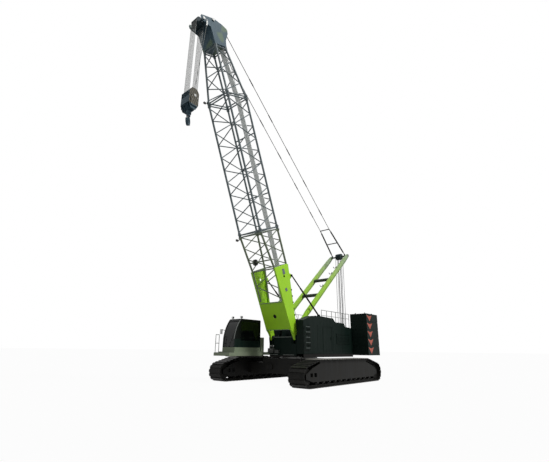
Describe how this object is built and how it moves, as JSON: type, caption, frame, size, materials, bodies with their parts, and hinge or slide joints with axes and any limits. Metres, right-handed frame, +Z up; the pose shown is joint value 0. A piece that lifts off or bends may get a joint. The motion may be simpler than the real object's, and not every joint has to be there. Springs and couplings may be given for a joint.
{
  "type": "lattice boom crawler crane",
  "caption": "Crawler crane with tracked undercarriage, slewing upper works, cab, rear counterweight, lattice boom, luffing mast and hook block.",
  "frame": {"origin": "slewing centre of the undercarriage, on the ground under the tracks", "axes": "+X to the crane's front, +Y to its left, +Z up"},
  "size_m": [17.2473, 7.43, 22.4795],
  "materials": {
    "undercarriage_black": "satin",
    "track_steel": "worn",
    "bearing_steel": "oiled",
    "dark_green": "gloss",
    "olive_grey": "satin",
    "lime_green": "gloss",
    "slate_grey": "satin",
    "slate_blue": "satin",
    "sheave_grey": "machined",
    "galvanised": "galvanised",
    "rope_steel": "stranded",
    "rail_grey": "satin",
    "pillar_grey": "satin",
    "engine_grey": "rough",
    "cab_glass": "tinted",
    "seat_black": "woven",
    "trim_black": "matte"
  },
  "bodies": {
    "crawler": {"carbody": "undercarriage_black", "slew_ring": "bearing_steel", "track_frames": "undercarriage_black", "track_left": "track_steel", "track_right": "track_steel", "idlers": "track_steel", "sprockets": "track_steel", "track_rollers": "track_steel"},
    "upper": {"deck_frame": "dark_green", "house_left": "dark_green", "house_right": "dark_green", "engine_block": "engine_grey", "exhaust_stack": "bearing_steel", "handrails": "rail_grey", "side_ladder": "rail_grey", "luffing_block": "slate_blue", "counterweight_tray": "dark_green", "counterweight_stacks": "dark_green", "cab_platform": "olive_grey", "platform_rail": "rail_grey", "cab_floor": "olive_grey", "cab_rear_wall": "dark_green", "cab_roof": "dark_green", "cab_front_frame": "pillar_grey", "cab_left_wall": "dark_green", "cab_right_wall": "dark_green", "cab_glass": "cab_glass", "cab_seat": "seat_black", "cab_console": "trim_black", "lamps_and_mirrors": "trim_black"},
    "cab_door": {"cab_door": "dark_green", "cab_door_glass": "cab_glass"},
    "house_door_left": {"house_door_left": "dark_green"},
    "house_door_right": {"house_door_right": "dark_green"},
    "main_winch": {"main_winch_drum": "rope_steel"},
    "aux_winch": {"aux_winch_drum": "rope_steel"},
    "luffing_winch": {"luffing_winch_drum": "rope_steel"},
    "boom": {"boom_butt": "lime_green", "boom_insert": "slate_grey", "boom_top": "slate_grey", "boom_head": "slate_blue", "head_sheaves": "sheave_grey", "boom_walkway": "galvanised", "pendants": "rope_steel"},
    "mast": {"mast_frame": "lime_green", "mast_sheaves": "sheave_grey"},
    "backstop_barrels": {"backstop_barrels": "undercarriage_black"},
    "backstop_rods": {"backstop_rods": "bearing_steel"},
    "rope_falls": {"rope_socket": "bearing_steel"},
    "hook_block": {"hook_block": "slate_blue", "hook_block_sheaves": "sheave_grey"},
    "hook": {"hook": "slate_blue"}
  },
  "joints": [
    {"name": "slew", "type": "hinge", "parent": "crawler", "child": "upper", "pos_m": [0, 0, 1.52], "axis": [0, 0, 1], "continuous": true},
    {"name": "boom_luff", "type": "hinge", "parent": "upper", "child": "boom", "pos_m": [1.608, 0, 2.677], "axis": [0, -1, 0], "range_deg": [-38, 12]},
    {"name": "mast_luff", "type": "hinge", "parent": "upper", "child": "mast", "pos_m": [0.658, 0, 3.83], "axis": [0, -1, 0], "range_deg": [-44.5, 14.2]},
    {"name": "backstop_tilt", "type": "hinge", "parent": "upper", "child": "backstop_barrels", "pos_m": [-0.92, 0, 4.23], "axis": [0, -1, 0], "range_deg": [-26.5, 9]},
    {"name": "backstop_slide", "type": "slide", "parent": "backstop_barrels", "child": "backstop_rods", "axis": [0.7934, 0, 0.6088], "range_m": [-0.6, 1.75]},
    {"name": "rope_falls_swing", "type": "hinge", "parent": "boom", "child": "rope_falls", "pos_m": [10.2828, 0, 21.69196], "axis": [0, -1, 0], "range_deg": [-12.5, 38.5]},
    {"name": "hook_hoist", "type": "slide", "parent": "rope_falls", "child": "hook_block", "axis": [0, 0, 1], "range_m": [-4.5, 2.2]},
    {"name": "hook_swivel", "type": "hinge", "parent": "hook_block", "child": "hook", "pos_m": [10.50026, 0, 15], "axis": [0, 0, 1], "continuous": true},
    {"name": "main_winch_turn", "type": "hinge", "parent": "upper", "child": "main_winch", "pos_m": [-0.7, 0, 2.76], "axis": [0, 1, 0], "continuous": true},
    {"name": "aux_winch_turn", "type": "hinge", "parent": "upper", "child": "aux_winch", "pos_m": [-2.15, 0, 2.76], "axis": [0, 1, 0], "continuous": true},
    {"name": "luffing_winch_turn", "type": "hinge", "parent": "upper", "child": "luffing_winch", "pos_m": [-3.65, 0, 2.76], "axis": [0, 1, 0], "continuous": true},
    {"name": "cab_door_swing", "type": "hinge", "parent": "upper", "child": "cab_door", "pos_m": [2.828, -2.7, 2.78], "axis": [0, 0, -1], "range_deg": [0, 80]},
    {"name": "house_door_left_swing", "type": "hinge", "parent": "upper", "child": "house_door_left", "pos_m": [-0.458, 1.725, 2.66], "axis": [0, 0, -1], "range_deg": [0, 90]},
    {"name": "house_door_right_swing", "type": "hinge", "parent": "upper", "child": "house_door_right", "pos_m": [-2.258, -1.725, 2.66], "axis": [0, 0, 1], "range_deg": [0, 90]}
  ],
  "couplings": [
    {"joint": "mast_luff", "follows": "boom_luff", "ratio": 1.16},
    {"joint": "backstop_tilt", "follows": "boom_luff", "ratio": 0.68},
    {"joint": "backstop_slide", "follows": "boom_luff", "m_per_rad": -2.5},
    {"joint": "rope_falls_swing", "follows": "boom_luff", "ratio": -1}
  ]
}
